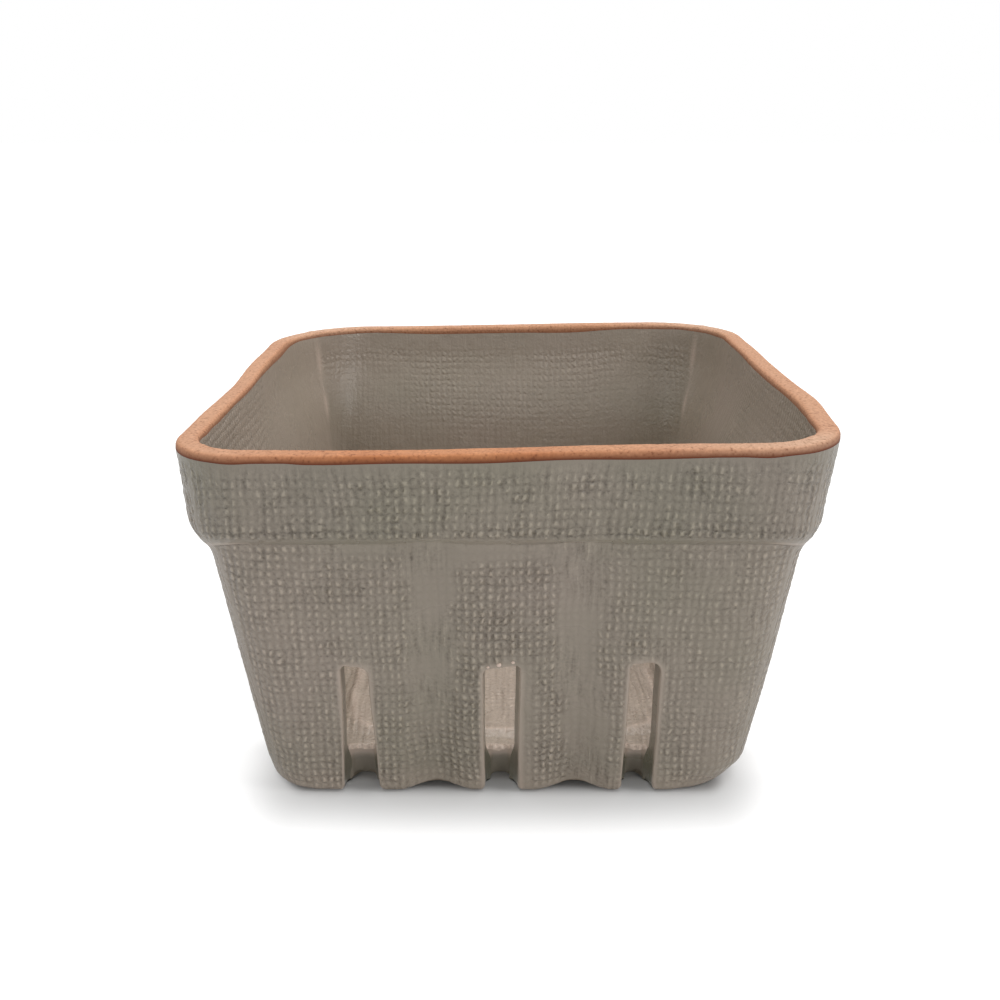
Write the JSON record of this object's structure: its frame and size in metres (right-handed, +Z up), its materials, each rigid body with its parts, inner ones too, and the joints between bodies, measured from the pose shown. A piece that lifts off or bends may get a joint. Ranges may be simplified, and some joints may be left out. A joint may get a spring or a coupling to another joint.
{
  "type": "fruit basket",
  "caption": "Square slab-built stoneware berry basket: sloping fluted walls with open-footed drain slots, an overlapping collar, a dished floor and a bare clay rim.",
  "frame": {"origin": "middle of the base, on the table", "axes": "+Z up, -Y towards the front side, +X to the right seen from the front"},
  "size_m": [0.14, 0.14, 0.087],
  "materials": {
    "grey_glaze": "warm grey semi-gloss glaze over a pressed cloth grain",
    "bare_clay": "unglazed fired clay, matt orange"
  },
  "bodies": {
    "root": {"floor_slab": "grey_glaze", "front_wall": "grey_glaze", "front_collar": "grey_glaze", "right_wall": "grey_glaze", "right_collar": "grey_glaze", "rear_wall": "grey_glaze", "rear_collar": "grey_glaze", "left_wall": "grey_glaze", "left_collar": "grey_glaze", "rim_coil": "bare_clay"}
  },
  "joints": []
}
